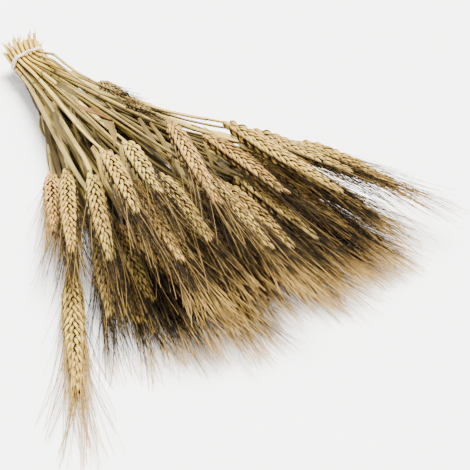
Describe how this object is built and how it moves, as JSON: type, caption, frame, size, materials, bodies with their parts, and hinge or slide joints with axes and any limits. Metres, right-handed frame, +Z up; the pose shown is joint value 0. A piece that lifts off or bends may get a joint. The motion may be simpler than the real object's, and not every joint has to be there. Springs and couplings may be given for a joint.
{
  "type": "dried triticale bunch",
  "caption": "Bunch of dried awned cereal stalks with ears, held by an elastic band near the cut ends and fanned out flat, for decoration.",
  "frame": {"origin": "middle of the bunch's footprint on the surface it lies on", "axes": "+X from the cut ends along the fan towards the awn tips, +Y across the fan, +Z up"},
  "size_m": [0.454, 0.302, 0.0603],
  "materials": {
    "golden_stalk": "dry, matt plant fibre",
    "pale_stalk": "dry, matt plant fibre",
    "brown_stalk": "dry, matt plant fibre",
    "dry_leaf": "dry, papery leaf",
    "elastic_white": "smooth, slightly translucent elastic"
  },
  "bodies": {
    "root": {"stalk_01": "golden_stalk", "stalk_02": "pale_stalk", "stalk_03": "brown_stalk", "stalk_04": "golden_stalk", "stalk_05": "brown_stalk", "stalk_06": "golden_stalk", "stalk_07": "pale_stalk", "stalk_08": "brown_stalk", "stalk_09": "golden_stalk", "stalk_10": "pale_stalk", "stalk_11": "brown_stalk", "stalk_12": "golden_stalk", "stalk_13": "pale_stalk", "stalk_14": "brown_stalk", "stalk_15": "golden_stalk", "stalk_16": "golden_stalk", "stalk_17": "pale_stalk", "stalk_18": "brown_stalk", "stalk_19": "golden_stalk", "stalk_20": "pale_stalk", "stalk_21": "brown_stalk", "stalk_22": "golden_stalk", "stalk_23": "brown_stalk", "stalk_24": "golden_stalk", "stalk_25": "pale_stalk", "stalk_26": "brown_stalk", "stalk_27": "golden_stalk", "stalk_28": "pale_stalk", "stalk_29": "brown_stalk", "stalk_30": "golden_stalk", "stalk_31": "pale_stalk", "stalk_32": "brown_stalk", "stalk_33": "golden_stalk", "stalk_34": "pale_stalk", "stalk_35": "brown_stalk", "stalk_36": "golden_stalk", "stalk_37": "pale_stalk", "stalk_38": "golden_stalk", "stalk_39": "pale_stalk", "stalk_40": "brown_stalk", "stalk_41": "golden_stalk", "stalk_42": "pale_stalk", "stalk_43": "brown_stalk", "leaf_1": "dry_leaf", "leaf_2": "dry_leaf", "leaf_3": "dry_leaf", "leaf_4": "dry_leaf", "elastic_band": "elastic_white"}
  },
  "joints": []
}
